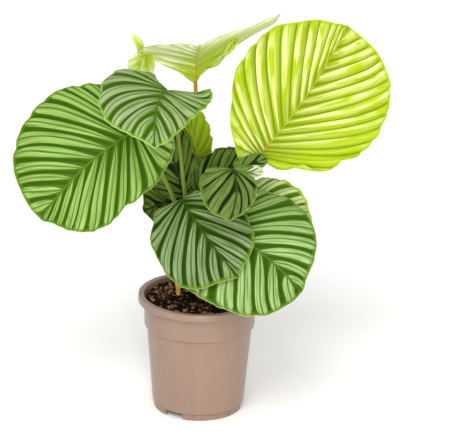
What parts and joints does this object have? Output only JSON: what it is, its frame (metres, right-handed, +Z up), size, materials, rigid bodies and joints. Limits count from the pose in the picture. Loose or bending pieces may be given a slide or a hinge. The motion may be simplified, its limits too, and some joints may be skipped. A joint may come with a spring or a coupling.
{
  "type": "potted foliage plant",
  "caption": "Potted foliage plant with large round pleated leaves, striped dark and silvery green, young ones yellow-green, on slender stalks rising from soil in a plain tapered pot.",
  "frame": {"origin": "centre of the whole plant's bounding box in plan, at the height of the foot ring's underside", "axes": "+Z up along the pot's axis, -Y towards the viewer of the picture, +X to the viewer's right"},
  "size_m": [0.5028, 0.2642, 0.5452],
  "materials": {
    "pot_plastic": "satin",
    "soil": "rough",
    "grown_blade": "satin",
    "young_blade": "satin",
    "stalk": "satin"
  },
  "bodies": {
    "root": {"pot": "pot_plastic", "soil": "soil", "blade_left": "grown_blade", "stalk_left": "stalk", "blade_crown": "grown_blade", "stalk_crown": "stalk", "blade_top": "young_blade", "stalk_top": "stalk", "blade_right": "young_blade", "stalk_right": "stalk", "blade_front": "grown_blade", "stalk_front": "stalk", "blade_low_right": "grown_blade", "stalk_low_right": "stalk", "blade_small": "grown_blade", "stalk_small": "stalk", "blade_inner_right": "grown_blade", "stalk_inner_right": "stalk", "blade_behind_right": "grown_blade", "stalk_behind_right": "stalk", "blade_behind_left": "grown_blade", "stalk_behind_left": "stalk", "blade_inner_left": "grown_blade", "stalk_inner_left": "stalk", "blade_under_crown": "young_blade", "stalk_under_crown": "stalk"}
  },
  "joints": []
}
